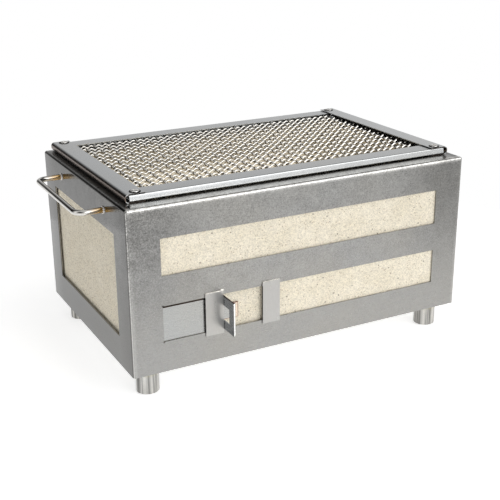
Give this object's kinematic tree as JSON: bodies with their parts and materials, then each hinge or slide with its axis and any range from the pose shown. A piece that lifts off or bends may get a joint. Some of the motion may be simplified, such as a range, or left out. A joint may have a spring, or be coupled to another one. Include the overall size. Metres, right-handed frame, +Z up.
{
  "type": "hibachi grill",
  "caption": "Brick-lined stainless steel hibachi charcoal grill with a sliding air vent, side rod handles and a lift-off woven wire cooking grate.",
  "frame": {"origin": "on the floor, under the middle of the whole outline, from the vent door's pull to the rear panel", "axes": "+X to the right along the casing's length, the front with the vent faces -Y, +Z up"},
  "size_m": [0.4984, 0.306, 0.2318],
  "materials": {
    "casing_steel": "fine mill grain, satin",
    "pipe_steel": "drawn pipe, weld tint at the top",
    "rod_steel": "bright drawn rod, straw weld tint at the ends",
    "grate_steel": "satin folded sheet",
    "rivet_steel": "bright",
    "wire_steel": "bright drawn wire",
    "charcoal_grate_steel": "dull drawn bar",
    "firebrick": "matt, porous, speckled"
  },
  "bodies": {
    "casing": {"front_panel": "casing_steel", "rear_panel": "casing_steel", "left_panel": "casing_steel", "right_panel": "casing_steel", "base_pan": "casing_steel", "foot_front_left": "pipe_steel", "foot_front_right": "pipe_steel", "foot_rear_left": "pipe_steel", "foot_rear_right": "pipe_steel", "front_wall_brick": "firebrick", "rear_wall_brick": "firebrick", "left_wall_brick": "firebrick", "right_wall_brick": "firebrick", "floor_brick_left": "firebrick", "floor_brick_middle": "firebrick", "floor_brick_right": "firebrick", "guide_strap_left": "casing_steel", "guide_strap_right": "casing_steel", "left_handle": "rod_steel", "right_handle": "rod_steel"},
    "vent_door": {"vent_door": "casing_steel"},
    "cooking_grate": {"grate_front_channel": "grate_steel", "grate_rear_channel": "grate_steel", "grate_left_channel": "grate_steel", "grate_right_channel": "grate_steel", "grate_rivet_front_left": "rivet_steel", "grate_rivet_front_right": "rivet_steel", "grate_rivet_rear_left": "rivet_steel", "grate_rivet_rear_right": "rivet_steel", "woven_mesh": "wire_steel"},
    "charcoal_grate": {"charcoal_grate": "charcoal_grate_steel", "charcoal_leg_front_left": "charcoal_grate_steel", "charcoal_leg_front_right": "charcoal_grate_steel", "charcoal_leg_rear_left": "charcoal_grate_steel", "charcoal_leg_rear_right": "charcoal_grate_steel"}
  },
  "joints": [
    {"name": "vent_slide", "type": "slide", "parent": "casing", "child": "vent_door", "axis": [1, 0, 0], "range_m": [0, 0.0466]},
    {"name": "cooking_grate_lift", "type": "slide", "parent": "casing", "child": "cooking_grate", "axis": [0, 0, 1], "range_m": [0, 0.06]},
    {"name": "charcoal_grate_lift", "type": "slide", "parent": "casing", "child": "charcoal_grate", "axis": [0, 0, 1], "range_m": [0, 0.1]}
  ]
}
